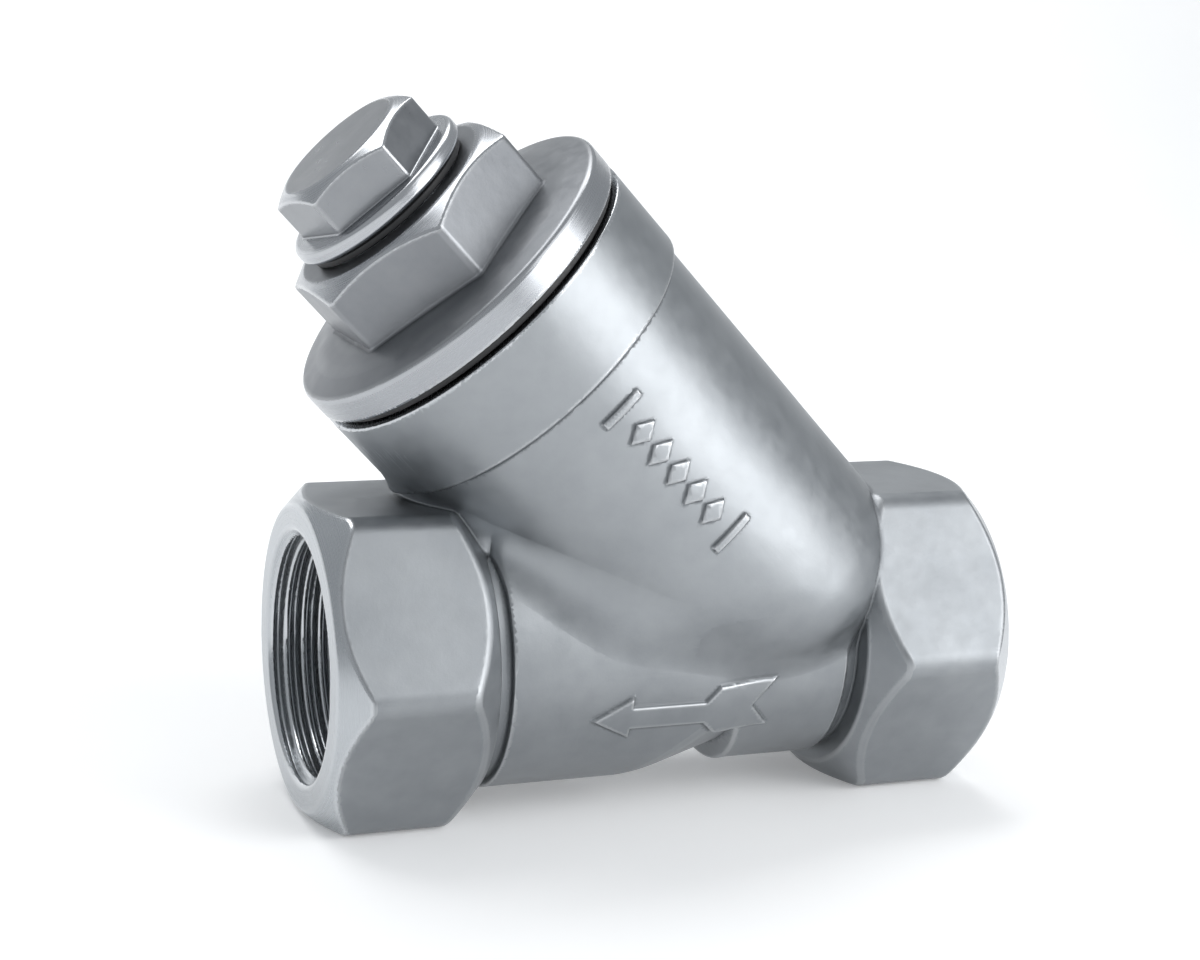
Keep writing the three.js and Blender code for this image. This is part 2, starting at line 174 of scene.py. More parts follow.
# roundings
TURNED_EDGE, CUT_EDGE, CAST_EDGE, SOFT_EDGE, BLUNT_EDGE = 0.2, 0.25, 0.3, 0.4, 0.5
CHAMFER_EDGE, FLANGE_EDGE, COLLAR_EDGE = 0.35, 0.7, 0.8
GASKET_EDGE, RING_EDGE = 0.15, 0.12

# meshes: size of the grid's cells, and triangles left after thinning
BODY_CELL, BODY_TRIANGLES = 0.38, 190000
CAP_CELL, CAP_TRIANGLES = 0.28, 150000
PLUG_CELL, PLUG_TRIANGLES = 0.2, 110000
TURNS = 144  # faces round a gasket or a ring
SHARP_ANGLE = math.radians(40)  # sharper bends in the screen's metal are edges
WELD_DISTANCE = 0.01  # points of the sheet that are closer become one

THREAD_FLAT = 0.1  # share of the pitch that is flat on a thread's crest and in its groove
THREAD_CHAMFER, MOUTH_CHAMFER = 1, 0.3
LAP = 1  # how far a shape runs on into its neighbour
SKIN = 0.05  # fields are shrunk by this, so that their surfaces stay inside the CAD's box
SLANT = 0.7  # brings the field of a slanted wall, such as a thread's flank, back to about a distance
CLEAR = 5.0  # a small mark's field away from the mark
FAR = 50.0  # a hollow's field away from the hollow
SLOPE_30, SLOPE_45 = math.radians(30), math.radians(45)
SIN_60, TAN_30 = math.sin(math.radians(60)), math.tan(SLOPE_30)


# ---- distance fields ----
def join(a, b, fillet):
    """Both shapes together, with a round fillet in the corner between them."""
    reach = np.hypot(np.maximum(fillet - a, 0), np.maximum(fillet - b, 0))
    return np.maximum(fillet, np.minimum(a, b)) - reach


def meet(a, b, edge):
    """What two shapes have in common, with a round edge where they cross."""
    reach = np.hypot(np.maximum(edge + a, 0), np.maximum(edge + b, 0))
    return np.minimum(-edge, np.maximum(a, b)) + reach


def cut(a, b, edge):
    """The first shape without the second, with a round edge between them."""
    return meet(a, -b, edge)


def between(value, low, high):
    """A slab from one station to another."""
    return np.abs(value - (low + high) / 2) - (high - low) / 2


def ease(share):
    """Smooth step from 0 to 1."""
    t = np.clip(share, 0, 1)
    return t * t * (3 - 2 * t)


def hexagon(across, up, flats, corner):
    """A hexagon whose flats face up and down, with its corners rounded."""
    apothem = flats / 2 - corner
    a, b = np.abs(across), np.abs(up)
    fold = 2 * np.minimum(0.5 * b - SIN_60 * a, 0)
    a, b = a + SIN_60 * fold, b - 0.5 * fold
    half_side = apothem * TAN_30
    return np.hypot(a - np.clip(a, -half_side, half_side), b - apothem) * np.sign(b - apothem) - corner


def polygon(a, b, corners):
    """Signed distance to a closed outline of straight sides."""
    nearest = np.full(a.shape, np.inf)
    sign = np.ones(a.shape)
    for (a0, b0), (a1, b1) in zip(corners, corners[1:] + corners[:1]):
        side_a, side_b = a1 - a0, b1 - b0
        share = np.clip(((a - a0) * side_a + (b - b0) * side_b) / (side_a**2 + side_b**2), 0, 1)
        nearest = np.minimum(nearest, (a - a0 - share * side_a) ** 2 + (b - b0 - share * side_b) ** 2)
        below, above = b >= b0, b < b1
        left = side_a * (b - b0) > side_b * (a - a0)
        sign = np.where((below & above & left) | (~below & ~above & ~left), -sign, sign)
    return sign * np.sqrt(nearest)


def groove(along, turn, pitch):
    """Right-hand thread: 0 on its crest and 1 in its groove, rounded at both."""
    phase = along / pitch - turn / (2 * math.pi)
    triangle = np.abs(2 * (phase - np.floor(phase)) - 1)
    return 1 - ease((triangle - THREAD_FLAT) / (1 - 2 * THREAD_FLAT))


def threaded_radius(along, turn, radius, thread):
    """Radius of a male thread, or of the bore that it screws into."""
    return radius - thread["depth"] * groove(along, turn, thread["pitch"])


def cone(off, along, radius, station, slope):
    """Inside of a cone that narrows along its axis at that slope, in radians from a flat disc."""
    return (off - radius) * math.sin(slope) + (along - station) * math.cos(slope)


def to_branch(x, z):
    """Side and height in the branch's own frame, from a point in the run's frame."""
    side = (x - BRANCH_X) * BRANCH_SIDE.x + z * BRANCH_SIDE.z
    height = (x - BRANCH_X) * BRANCH_AXIS.x + z * BRANCH_AXIS.z
    return side, height


def hexagonal_ends(x, y, z, around):
    from_middle = np.abs(x)
    bar = hexagon(y, z, END_AF, END_CORNER)
    bar = meet(bar, cone(around, from_middle, END_CHAMFER_R, HALF, SLOPE_45), CHAMFER_EDGE)
    bar = meet(bar, cone(around, -from_middle, NECK_CHAMFER_R, END_LENGTH - HALF, SLOPE_45), BLUNT_EDGE)
    return meet(bar, between(from_middle, HALF - END_LENGTH, HALF), CAST_EDGE)


def run_radius(x):
    narrowed = ease((x - RUN_TAPER_FROM) / (RUN_TAPER_TO - RUN_TAPER_FROM))
    return RUN_OUTLET_R + (RUN_INLET_R - RUN_OUTLET_R) * narrowed


def waist(x, y, z):
    """Room inside the waist that is turned into the run's underside."""
    reach = np.interp(x, WAIST_STATIONS, WAIST_RADII) + WAIST_RISE
    return (np.hypot(y, z - WAIST_RISE) - reach) * WAIST_SLANT


def neck_groove(x, around):
    from_hexagon = HALF - END_LENGTH - np.abs(x)
    floor = run_radius(x) - NECK_GROOVE_DEPTH
    return meet(between(from_hexagon, -LAP, NECK_GROOVE_WIDTH), floor - around, SOFT_EDGE)


def branch_barrel(y, z, off, height):
    """The branch's outside: a barrel with a thicker collar above and a U-shaped end below."""
    widened = ease((height - COLLAR_FROM + COLLAR_RAMP / 2) / COLLAR_RAMP)
    radius = BRANCH_R + (COLLAR_R - BRANCH_R) * widened
    below = np.minimum(height - DOME_FROM, 0)
    share = np.hypot(off / radius, below / DOME_DEPTH)
    steepness = np.hypot(off / radius**2, below / DOME_DEPTH**2)
    wall = share * (share - 1) / np.maximum(steepness, 1e-6)
    wall = meet(wall, meet(np.abs(y) - CHIN_HALF_WIDTH, CHIN_FLOOR - z, CHIN_CORNER), CHIN_EDGE)
    return meet(wall, height - MOUTH, TURNED_EDGE)


def flow_arrow(x, y, z, around):
    """Raised arrow on both sides of the run, pointing to the outlet."""
    outward = np.abs(y) * math.cos(ARROW_TILT) - z * math.sin(ARROW_TILT)
    upward = np.abs(y) * math.sin(ARROW_TILT) + z * math.cos(ARROW_TILT)
    field = np.full(x.shape, CLEAR)
    near = (outward > PASSAGE_R) & (np.abs(x) < ARROW_ROOM[0]) & (np.abs(upward) < ARROW_ROOM[1])
    outline = ARROW_HALF + [(a, -b) for a, b in ARROW_HALF[-2:0:-1]]
    face = polygon(x[near], upward[near], outline)
    field[near] = meet(around[near] - run_radius(x[near]) - RELIEF, face, CAST_EDGE)
    return field


def size_mark(side, y, height, off):
    """The two cross bars with a row of plain lozenges between them, in the place of the cast lettering."""
    upward = side * math.cos(MARK_TILT) - np.abs(y) * math.sin(MARK_TILT)
    field = np.full(side.shape, CLEAR)
    near = (np.abs(upward) < MARK_HALF_ROOM) & (off > CHAMBER_R)
    near &= (height > MARK_ROOM_FROM) & (height < MARK_ROOM_TO)
    up, along, out = upward[near], height[near], off[near] - BRANCH_R - RELIEF
    face = np.full(up.shape, CLEAR)
    for station in MARK_STATIONS:
        bar = between(along, station - MARK_WIDTH / 2, station + MARK_WIDTH / 2)
        face = np.minimum(face, meet(bar, np.abs(up) - MARK_LENGTH / 2, TURNED_EDGE))
    for station in np.linspace(MARK_STATIONS[0] + PAD_INSET, MARK_STATIONS[1] - PAD_INSET, PAD_COUNT):
        lozenge = np.abs(along - station) * PAD_HALF_LENGTH + (np.abs(up) - PAD_HALF_LENGTH) * PAD_HALF_WIDTH
        face = np.minimum(face, lozenge / math.hypot(PAD_HALF_LENGTH, PAD_HALF_WIDTH))
    field[near] = meet(out, face, CUT_EDGE)
    return field


def port_radius(x, turn):
    """Radius of the open way along the run: plain passage, ramp, pipe thread and mouth chamfer."""
    from_face = HALF - np.abs(x)
    widened = PORT_CREST_R - PASSAGE_R
    ramp = PASSAGE_R + np.clip(PORT_DEPTH + widened - from_face, 0, widened)
    cutting = ease((PORT_DEPTH - from_face) / PORT_PITCH)
    thread = (PORT_ROOT_R - PORT_CREST_R) * cutting * groove(x, turn, PORT_PITCH)
    return np.maximum(ramp + thread, PORT_MOUTH_R - from_face)


def run_hollow(x, y, z, around, height):
    """The way in, up to where the branch begins, and the way out, below the screen's seat."""
    way = (around - port_radius(x, np.arctan2(z, y))) * SLANT
    inlet = np.maximum(way, BRANCH_X - x)
    elbow = np.sqrt((x - BRANCH_X) ** 2 + y**2 + z**2) - PASSAGE_R
    outlet = meet(np.maximum(way, x - BRANCH_X), SEAT + SEAT_RECESS_DEPTH - height, SOFT_EDGE)
    return np.minimum(np.minimum(inlet, elbow), outlet)


def branch_hollow(side, y, off, height):
    """Seat bore, recess for the screen's ring, chamber, and the tapped and chamfered mouth."""
    recess_top = SEAT + SEAT_RECESS_DEPTH
    thread_r = threaded_radius(height, np.arctan2(y, side), CAP_BORE_R, CAP_THREAD)
    steps = (
        (SEAT_BORE_R, 0, SEAT + LAP),
        (SEAT_RECESS_R, SEAT, recess_top + LAP),
        (CHAMBER_R, recess_top, MOUTH + 2 * LAP),
    )
    field = np.full(side.shape, FAR)
    for radius, low, high in steps:
        field = np.minimum(field, meet(off - radius, between(height, low, high), CUT_EDGE))
    tapped = np.maximum((off - thread_r) * SLANT, between(height, CAP_BORE_TO, MOUTH + 2 * LAP))
    mouth = (off - CAP_BORE_R - MOUTH_CHAMFER + MOUTH - height) * SLANT
    return np.minimum(field, np.minimum(tapped, np.maximum(mouth, MOUTH - LAP - height)))


def body_field(x, y, z):
    around = np.hypot(y, z)
    side, height = to_branch(x, z)
    off = np.hypot(side, y)
    run = meet(around - run_radius(x), np.abs(x) - HALF + END_LENGTH / 2, BLUNT_EDGE)
    run = meet(run, waist(x, y, z), SOFT_EDGE)
    run = cut(run, neck_groove(x, around), CAST_EDGE)
    run = join(run, flow_arrow(x, y, z, around), CAST_EDGE)
    barrel = branch_barrel(y, z, off, height)
    barrel = join(barrel, size_mark(side, y, height, off), CUT_EDGE)
    risen = ease((height - BRANCH_FILLET_FROM) / (BRANCH_FILLET_TO - BRANCH_FILLET_FROM))
    fillet = DOME_FILLET + (BRANCH_FILLET - DOME_FILLET) * risen
    shell = join(run, barrel, fillet)
    shell = join(shell, hexagonal_ends(x, y, z, around), NECK_FILLET)
    hollow = np.minimum(run_hollow(x, y, z, around, height), branch_hollow(side, y, off, height))
    return cut(shell, hollow, CUT_EDGE)


def threaded_shank(off, turn, w, thread):
    """Male thread, relieved below its head and chamfered at its end."""
    threaded = threaded_radius(w, turn, thread["outer"], thread)
    relieved = ease((w - thread["head"] + thread["relief_length"]) / thread["relief_ramp"])
    shank = (off - threaded - (thread["relief"] - threaded) * relieved) * SLANT
    shank = meet(shank, between(w, thread["end"], thread["head"] + LAP), TURNED_EDGE)
    return np.maximum(shank, cone(off, -w, thread["outer"] - THREAD_CHAMFER, -thread["end"], SLOPE_45))


def cap_flange(off, w):
    """Round flange, its top sloping up from near the rim to the foot of the hexagon."""
    slope = math.atan2(CAP_HEX_FROM - FLANGE_TO, FLANGE_SLOPE_R - FLANGE_FOOT_R)
    flange = meet(off - FLANGE_R, between(w, FLANGE_FROM, CAP_HEX_FROM), TURNED_EDGE)
    return meet(flange, cone(off, w, FLANGE_SLOPE_R, FLANGE_TO, slope), FLANGE_EDGE)


def cap_hollow(off, turn, w):
    """Recess for the screen's ring, cavity for dirt, and the plug's tapped bore with its chamfer."""
    recess = meet(off - SEAT_RECESS_R, w - CAP_RECESS_TO, CAST_EDGE)
    cavity = meet(off - CAP_CAVITY_R, cone(off, w, PLUG_BORE_R, CAP_CAVITY_TO, SLOPE_45), SOFT_EDGE)
    bore = (off - threaded_radius(w, turn, PLUG_BORE_R, PLUG_THREAD)) * SLANT
    mouth = (off - PLUG_BORE_R + CAP_TOP - MOUTH_CHAMFER - w) * SLANT
    return np.minimum(np.minimum(recess, cavity), np.minimum(bore, mouth))


def cap_field(u, v, w):
    off = np.hypot(u, v)
    turn = np.arctan2(v, u)
    head = hexagon(v, u, CAP_AF, CAP_CORNER)
    head = meet(head, cone(off, w, CAP_CHAMFER_R, CAP_TOP, SLOPE_30), CAST_EDGE)
    head = meet(head, between(w, FLANGE_TO - LAP, CAP_TOP), CAST_EDGE)
    shell = join(cap_flange(off, w), head, SOFT_EDGE)
    shell = join(shell, threaded_shank(off, turn, w, CAP_THREAD), CAST_EDGE)
    return cut(shell, cap_hollow(off, turn, w), CUT_EDGE)


def plug_field(u, v, w):
    off = np.hypot(u, v)
    across = u * math.cos(PLUG_CORNER_AT) + v * math.sin(PLUG_CORNER_AT)
    up = v * math.cos(PLUG_CORNER_AT) - u * math.sin(PLUG_CORNER_AT)
    head = hexagon(across, up, PLUG_AF, PLUG_CORNER)
    head = meet(head, cone(off, w, PLUG_CHAMFER_R, PLUG_TOP, SLOPE_30), TURNED_EDGE)
    head = meet(head, between(w, PLUG_COLLAR_TO - LAP, PLUG_TOP), TURNED_EDGE)
    collar = meet(off - PLUG_COLLAR_R, between(w, PLUG_COLLAR_FROM, PLUG_COLLAR_TO), COLLAR_EDGE)
    shank = threaded_shank(off, np.arctan2(v, u), w, PLUG_THREAD)
    return join(join(collar, head, CUT_EDGE), shank, TURNED_EDGE)


# ---- how far a surface was machined, from 0 to 1, with small margins in millimetres ----
def body_machined(x, y, z):
    around = np.hypot(y, z)
    side, height = to_branch(x, z)
    off = np.hypot(side, y)
    from_face = HALF - np.abs(x)
    chamfer = (np.abs(around - END_CHAMFER_R - from_face) < 0.2) & (from_face < END_LENGTH / 2)
    port = (around < PORT_ROOT_R + 0.3) & (from_face < PORT_DEPTH + 0.5)
    mouth = (height > MOUTH - 0.35) | ((off < CAP_BORE_R + 0.4) & (height > CAP_BORE_TO - 1))
    turned = (chamfer | (from_face < 0.3) | port | mouth).astype(float)
    on_barrel = (off > BRANCH_R - 0.4) * (1 - ease((off - COLLAR_R) / 2))
    ground = GROUND_SHARE * ease((height - DOME_FROM) / GROUND_FADE) * on_barrel
    return np.maximum(turned, ground)


def cap_machined(u, v, w):
    off = np.hypot(u, v)
    crown = cone(off, w, CAP_CHAMFER_R, CAP_TOP, SLOPE_30) > -0.25
    rim = (off > FLANGE_R - 0.3) | (w < FLANGE_FROM + 0.3)
    return (crown | rim | (off < PLUG_BORE_R + 0.6)).astype(float)


def plug_machined(u, v, w):
    off = np.hypot(u, v)
    crown = cone(off, w, PLUG_CHAMFER_R, PLUG_TOP, SLOPE_30) > -0.2
    return (crown | (w < PLUG_COLLAR_TO + 0.1)).astype(float)


# ---- dual contouring ----
CROSSING_REACH, NORMAL_REACH = 0.02, 0.03  # how far from a point its slope is sampled
SLAB_POINTS = 400000  # about as many points of the grid are worked out at once
PULL = 0.04  # how strongly a cell's point is drawn to the middle of its crossings


def slope_of(field, points, reach):
    """Unit normals of a field at many points, from four samples round each."""
    total = np.zeros(points.shape)
    for corner in ((1, -1, -1), (-1, -1, 1), (-1, 1, -1), (1, 1, 1)):
        sample = points + reach * np.array(corner)
        total += np.array(corner) * field(*sample.T)[:, None]
    return total / np.maximum(np.linalg.norm(total, axis=1, keepdims=True), 1e-12)


def crossings(field, values, axis, origin, cell):
    """Where the surface cuts the grid's lines along one axis, and which lines leave the solid there."""
    found = np.argwhere(np.diff(values < 0, axis=axis))
    unit = np.eye(3, dtype=int)[axis]
    low, high = values[tuple(found.T)].astype(float), values[tuple((found + unit).T)].astype(float)
    leaving = low < 0
    start, end = np.zeros(len(found)), np.ones(len(found))
    for _ in range(3):
        share = start + (end - start) * low / (low - high)
        points = origin + cell * (found + share[:, None] * unit)
        value = field(*points.T)
        before = (value < 0) == leaving
        start, low = np.where(before, share, start), np.where(before, value, low)
        end, high = np.where(before, end, share), np.where(before, high, value)
        low = np.where(np.abs(low - high) < 1e-12, low - 1e-9, low)
    share = np.clip(start + (end - start) * low / (low - high), 0, 1)
    return found, origin + cell * (found + share[:, None] * unit), leaving


def contour(field, low, high, cell):
    """Points and quads of the field's surface inside a box, one point to each cell that it passes through."""
    origin = np.array(low, float) - 1.5 * cell
    counts = np.ceil((np.array(high, float) + 1.5 * cell - origin) / cell).astype(int) + 1
    lines = [origin[i] + cell * np.arange(counts[i]) for i in range(3)]
    values = np.empty(counts, np.float32)
    slab = max(1, int(SLAB_POINTS / (counts[1] * counts[2])))
    for first in range(0, counts[0], slab):
        x, y, z = np.meshgrid(lines[0][first:first + slab], lines[1], lines[2], indexing="ij")
        values[first:first + slab] = field(x, y, z)
    cells, points, normals, turned = [], [], [], []
    for axis in range(3):
        found, crossing, leaving = crossings(field, values, axis, origin, cell)
        second, third = np.roll(np.eye(3, dtype=int), -axis, axis=0)[1:]
        around = [found, found - second, found - second - third, found - third]
        cells.append(np.stack([np.ravel_multi_index(c.T, counts) for c in around], axis=1))
        points.append(crossing)
        normals.append(slope_of(field, crossing, CROSSING_REACH))
        turned.append(~leaving)
    cells, points = np.concatenate(cells), np.concatenate(points)
    normals, turned = np.concatenate(normals), np.concatenate(turned)
    used, quads = np.unique(cells, return_inverse=True)
    quads = quads.reshape(-1, 4)
    vertices = settle(used, quads, points, normals, origin, counts, cell)
    quads[turned] = quads[turned][:, ::-1]
    return vertices, quads


def settle(used, quads, points, normals, origin, counts, cell):
    """The point of each cell that lies best on all the planes that cross it."""
    owner = quads.ravel()
    planes = np.repeat(normals, 4, axis=0)
    touched = np.repeat(points, 4, axis=0)
    share = np.bincount(owner)
    mean = np.stack([np.bincount(owner, touched[:, i]) for i in range(3)], axis=1) / share[:, None]
    gap = np.einsum("ij,ij->i", planes, touched - mean[owner])
    matrix = np.empty((len(used), 3, 3))
    right = np.empty((len(used), 3, 1))
    for i in range(3):
        right[:, i, 0] = np.bincount(owner, planes[:, i] * gap)
        for j in range(3):
            matrix[:, i, j] = np.bincount(owner, planes[:, i] * planes[:, j])
    matrix += np.eye(3) * (PULL * share)[:, None, None]
    vertices = mean + np.linalg.solve(matrix, right)[:, :, 0]
    corner = origin + cell * np.stack(np.unravel_index(used, counts), axis=1)
    return np.clip(vertices, corner, corner + cell)


# ---- meshes ----
NORMAL_INSET, MASK_INSET = 0.2, 0.5  # sampled this share of the way in from a face's corner
MASK_REACH = 0.45  # how far apart bends are felt
EDGE_LEAST, HOLLOW_LEAST = 0.15, 0.1  # bends under these are no edge and no hollow


def add_object(name, data):
    made = bpy.data.objects.new(name, data)
    bpy.context.scene.collection.objects.link(made)
    return made


def mesh_object(name, vertices, faces):
    """Mesh from points in millimetres."""
    mesh = bpy.data.meshes.new(name)
    faces = np.asarray(faces)
    sides = faces.shape[1]
    mesh.vertices.add(len(vertices))
    mesh.vertices.foreach_set("co", (np.asarray(vertices) * MM).astype(np.float32).ravel())
    mesh.loops.add(faces.size)
    mesh.loops.foreach_set("vertex_index", faces.astype(np.int32).ravel())
    mesh.polygons.add(len(faces))
    mesh.polygons.foreach_set("loop_start", np.arange(0, faces.size, sides, dtype=np.int32))
    mesh.update(calc_edges=True)
    mesh.validate()
    mesh.polygons.foreach_set("use_smooth", np.ones(len(mesh.polygons), bool))
    return add_object(name, mesh)


def thin_out(piece, triangles):
    """Collapses the flattest parts of a mesh until about that many triangles are left."""
    count = sum(len(p.vertices) - 2 for p in piece.data.polygons)
    if count <= triangles:
        return
    modifier = piece.modifiers.new("thin_out", "DECIMATE")
    modifier.ratio = triangles / count
    fine = bpy.context.evaluated_depsgraph_get()
    thinned = bpy.data.meshes.new_from_object(piece.evaluated_get(fine))
    piece.modifiers.clear()
    old = piece.data
    thinned.name = piece.name
    piece.data = thinned
    bpy.data.meshes.remove(old)


def corner_samples(mesh, inward):
    """A point inside each face's corner, that share of the way to the face's centre."""
    where = np.empty(len(mesh.vertices) * 3, np.float32)
    mesh.vertices.foreach_get("co", where)
    where = where.reshape(-1, 3) / MM
    index = np.empty(len(mesh.loops), np.int32)
    mesh.loops.foreach_get("vertex_index", index)
    total = np.empty(len(mesh.polygons), np.int32)
    mesh.polygons.foreach_get("loop_total", total)
    face = np.repeat(np.arange(len(total)), total)
    corners = where[index].astype(float)
    centre = np.stack([np.bincount(face, corners[:, i]) for i in range(3)], axis=1) / total[:, None]
    return corners + (centre[face] - corners) * inward


def finish_surface(piece, field, machined):
    """Sets exact normals, and a corner colour for edges (red), hollows (green) and machining (blue)."""
    mesh = piece.data
    normals = slope_of(field, corner_samples(mesh, NORMAL_INSET), NORMAL_REACH)
    samples = corner_samples(mesh, MASK_INSET)
    bend = -6 * field(*samples.T)
    for axis in range(3):
        for way in (-MASK_REACH, MASK_REACH):
            bend += field(*(samples + way * np.eye(3)[axis]).T)
    bend /= MASK_REACH
    colour = np.ones((len(samples), 4), np.float32)
    colour[:, 0] = np.clip(bend - EDGE_LEAST, 0, 1)
    colour[:, 1] = np.clip(-bend - HOLLOW_LEAST, 0, 1)
    colour[:, 2] = machined(*samples.T)
    layer = mesh.attributes.new("surface", "FLOAT_COLOR", "CORNER")
    layer.data.foreach_set("color", colour.ravel())
    mesh.polygons.foreach_set("use_smooth", np.ones(len(mesh.polygons), bool))
    mesh.normals_split_custom_set(normals.astype(np.float32))


def carved(name, field, machined, low, high, cell, triangles):
    """Fine mesh of a field inside a box, with its normals and masks."""

    def inset(x, y, z):
        return field(x, y, z) + SKIN

    vertices, quads = contour(inset, low, high, cell * (1))
    piece = mesh_object(name, vertices, quads)
    thin_out(piece, triangles)
    finish_surface(piece, inset, machined)
    return piece


def make_body():
    low = [-HALF, -COLLAR_R, -END_AF / 2]
    high = [HALF, COLLAR_R, (body_high.z - BRANCH_POINT.z) / MM]
    return carved("body_casting", body_field, body_machined, low, high, BODY_CELL, BODY_TRIANGLES)


def make_cap():
    low = [-FLANGE_R, -FLANGE_R, CAP_THREAD["end"]]
    high = [FLANGE_R, FLANGE_R, CAP_TOP]
    return carved("cap_with_thread", cap_field, cap_machined, low, high, CAP_CELL, CAP_TRIANGLES)


def make_plug():
    low = [-PLUG_COLLAR_R, -PLUG_COLLAR_R, PLUG_THREAD["end"]]
    high = [PLUG_COLLAR_R, PLUG_COLLAR_R, PLUG_TOP]
    return carved("plug_with_thread", plug_field, plug_machined, low, high, PLUG_CELL, PLUG_TRIANGLES)


def lathe(name, outline, segments):
    """Closed outline of (radius, height) points turned about the branch axis."""
    turns = np.linspace(0, 2 * math.pi, segments, endpoint=False)
    radius, height = np.array(outline, float).T
    count = len(outline)
    points = np.stack([
        np.outer(np.cos(turns), radius),
        np.outer(np.sin(turns), radius),
        np.broadcast_to(height, (segments, count)),
    ], axis=2).reshape(-1, 3)
    i, j = np.meshgrid(np.arange(segments), np.arange(count), indexing="ij")
    nexti, nextj = (i + 1) % segments, (j + 1) % count
    quads = np.stack([i * count + j, nexti * count + j, nexti * count + nextj, i * count + nextj], axis=2)
    return mesh_object(name, points, quads.reshape(-1, 4))


def rounded_outline(corners, radius, steps=4):
    """The same closed outline with each corner replaced by an arc."""
    rounded = []
    for before, corner, after in zip(corners[-1:] + corners[:-1], corners, corners[1:] + corners[:1]):
        back = (Vector(before) - Vector(corner)).normalized()
        ahead = (Vector(after) - Vector(corner)).normalized()
        half = back.angle(ahead) / 2
        start = Vector(corner) + back * radius / math.tan(half)
        end = Vector(corner) + ahead * radius / math.tan(half)
        centre = Vector(corner) + (back + ahead).normalized() * radius / math.sin(half)
        for step in range(steps + 1):
            toward = start.lerp(end, step / steps) - centre
            rounded.append(tuple(centre + toward.normalized() * radius))
    return rounded


def gasket(name, size):
    inner, outer, low, high = size
    corners = [(inner, low), (outer, low), (outer, high), (inner, high)]
    return lathe(name, rounded_outline(corners, GASKET_EDGE), TURNS)


def end_ring(name, floor, up):
    """Pressed channel ring round the end of the screen."""
    channel, rim = floor + up * RING_FLOOR, floor + up * RING_HEIGHT
    inner, outer = RING_INNER_R + RING_WALL, RING_OUTER_R - RING_WALL
    corners = [
        (RING_INNER_R, floor),
        (RING_OUTER_R, floor),
        (RING_OUTER_R, rim),
        (outer, rim),
        (outer, channel),
        (inner, channel),
        (inner, rim),
        (RING_INNER_R, rim),
    ]
    if up < 0:
        corners.reverse()
    return lathe(name, rounded_outline(corners, RING_EDGE, 3), TURNS)


def add_point(points, radius, turn, height):
    """Adds a point round the branch axis, and gives its number."""
    points.append((radius * math.cos(turn), radius * math.sin(turn), height))
    return len(points) - 1


def add_hole(points, quads, centre, middle, half_turn, half_height):
    """One punched hole with its own square of sheet around it."""
    rims, edges = [], []
    for radius in (SHEET_INNER_R, SHEET_OUTER_R):
        rim, edge = [], []
        for side in range(HOLE_SIDES):
            angle = 2 * math.pi * side / HOLE_SIDES
            c, s = math.cos(angle), math.sin(angle)
            reach = 1 / max(abs(c), abs(s))
            rim.append(add_point(points, radius, centre + HOLE_R * c / SHEET_OUTER_R, middle + HOLE_R * s))
            turn, height = centre + half_turn * c * reach, middle + half_height * s * reach
            edge.append(add_point(points, radius, turn, height))
        rims.append(rim)
        edges.append(edge)
    (inner_rim, outer_rim), (inner_edge, outer_edge) = rims, edges
    for side in range(HOLE_SIDES):
        after = (side + 1) % HOLE_SIDES
        quads.append((outer_rim[side], outer_edge[side], outer_edge[after], outer_rim[after]))
        quads.append((inner_rim[after], inner_edge[after], inner_edge[side], inner_rim[side]))
        quads.append((inner_rim[side], outer_rim[side], outer_rim[after], inner_rim[after]))


def add_margin(points, quads, pitch, low, high, top):
    """Plain band at one end of the punched sheet, with its cut edge."""
    count = HOLE_COLUMNS * 4
    outline = ((SHEET_INNER_R, low), (SHEET_OUTER_R, low), (SHEET_OUTER_R, high), (SHEET_INNER_R, high))
    rings = [
        [add_point(points, radius, step * pitch / 4, height) for step in range(count)]
        for radius, height in outline
    ]
    for first, second in ((1, 2), (3, 0), (2, 3) if top else (0, 1)):
        for step in range(count):
            after = (step + 1) % count
            quads.append((rings[first][step], rings[first][after], rings[second][after], rings[second][step]))


def perforated_tube():
    """Rolled sheet with rows of punched holes, every second row half a pitch round."""
    bands = np.linspace(SHEET_FROM + SHEET_LAP, SHEET_TO - SHEET_LAP, HOLE_ROWS + 1)
    pitch = 2 * math.pi / HOLE_COLUMNS
    points, quads = [], []
    for row, (low, high) in enumerate(zip(bands[:-1], bands[1:])):
        for column in range(HOLE_COLUMNS):
            centre = (column + 0.5 * (row % 2)) * pitch
            add_hole(points, quads, centre, (low + high) / 2, pitch / 2, (high - low) / 2)
    add_margin(points, quads, pitch, SHEET_FROM, bands[0], False)
    add_margin(points, quads, pitch, bands[-1], SHEET_TO, True)
    piece = mesh_object("screen_punched_sheet", np.array(points), quads)
    weld(piece, WELD_DISTANCE)
    return piece


def weld(piece, distance):
    """Merges points that lie together, in millimetres."""
    work = bmesh.new()
    work.from_mesh(piece.data)
    bmesh.ops.remove_doubles(work, verts=work.verts, dist=distance * MM)
    bmesh.ops.recalc_face_normals(work, faces=work.faces)
    work.to_mesh(piece.data)
    work.free()


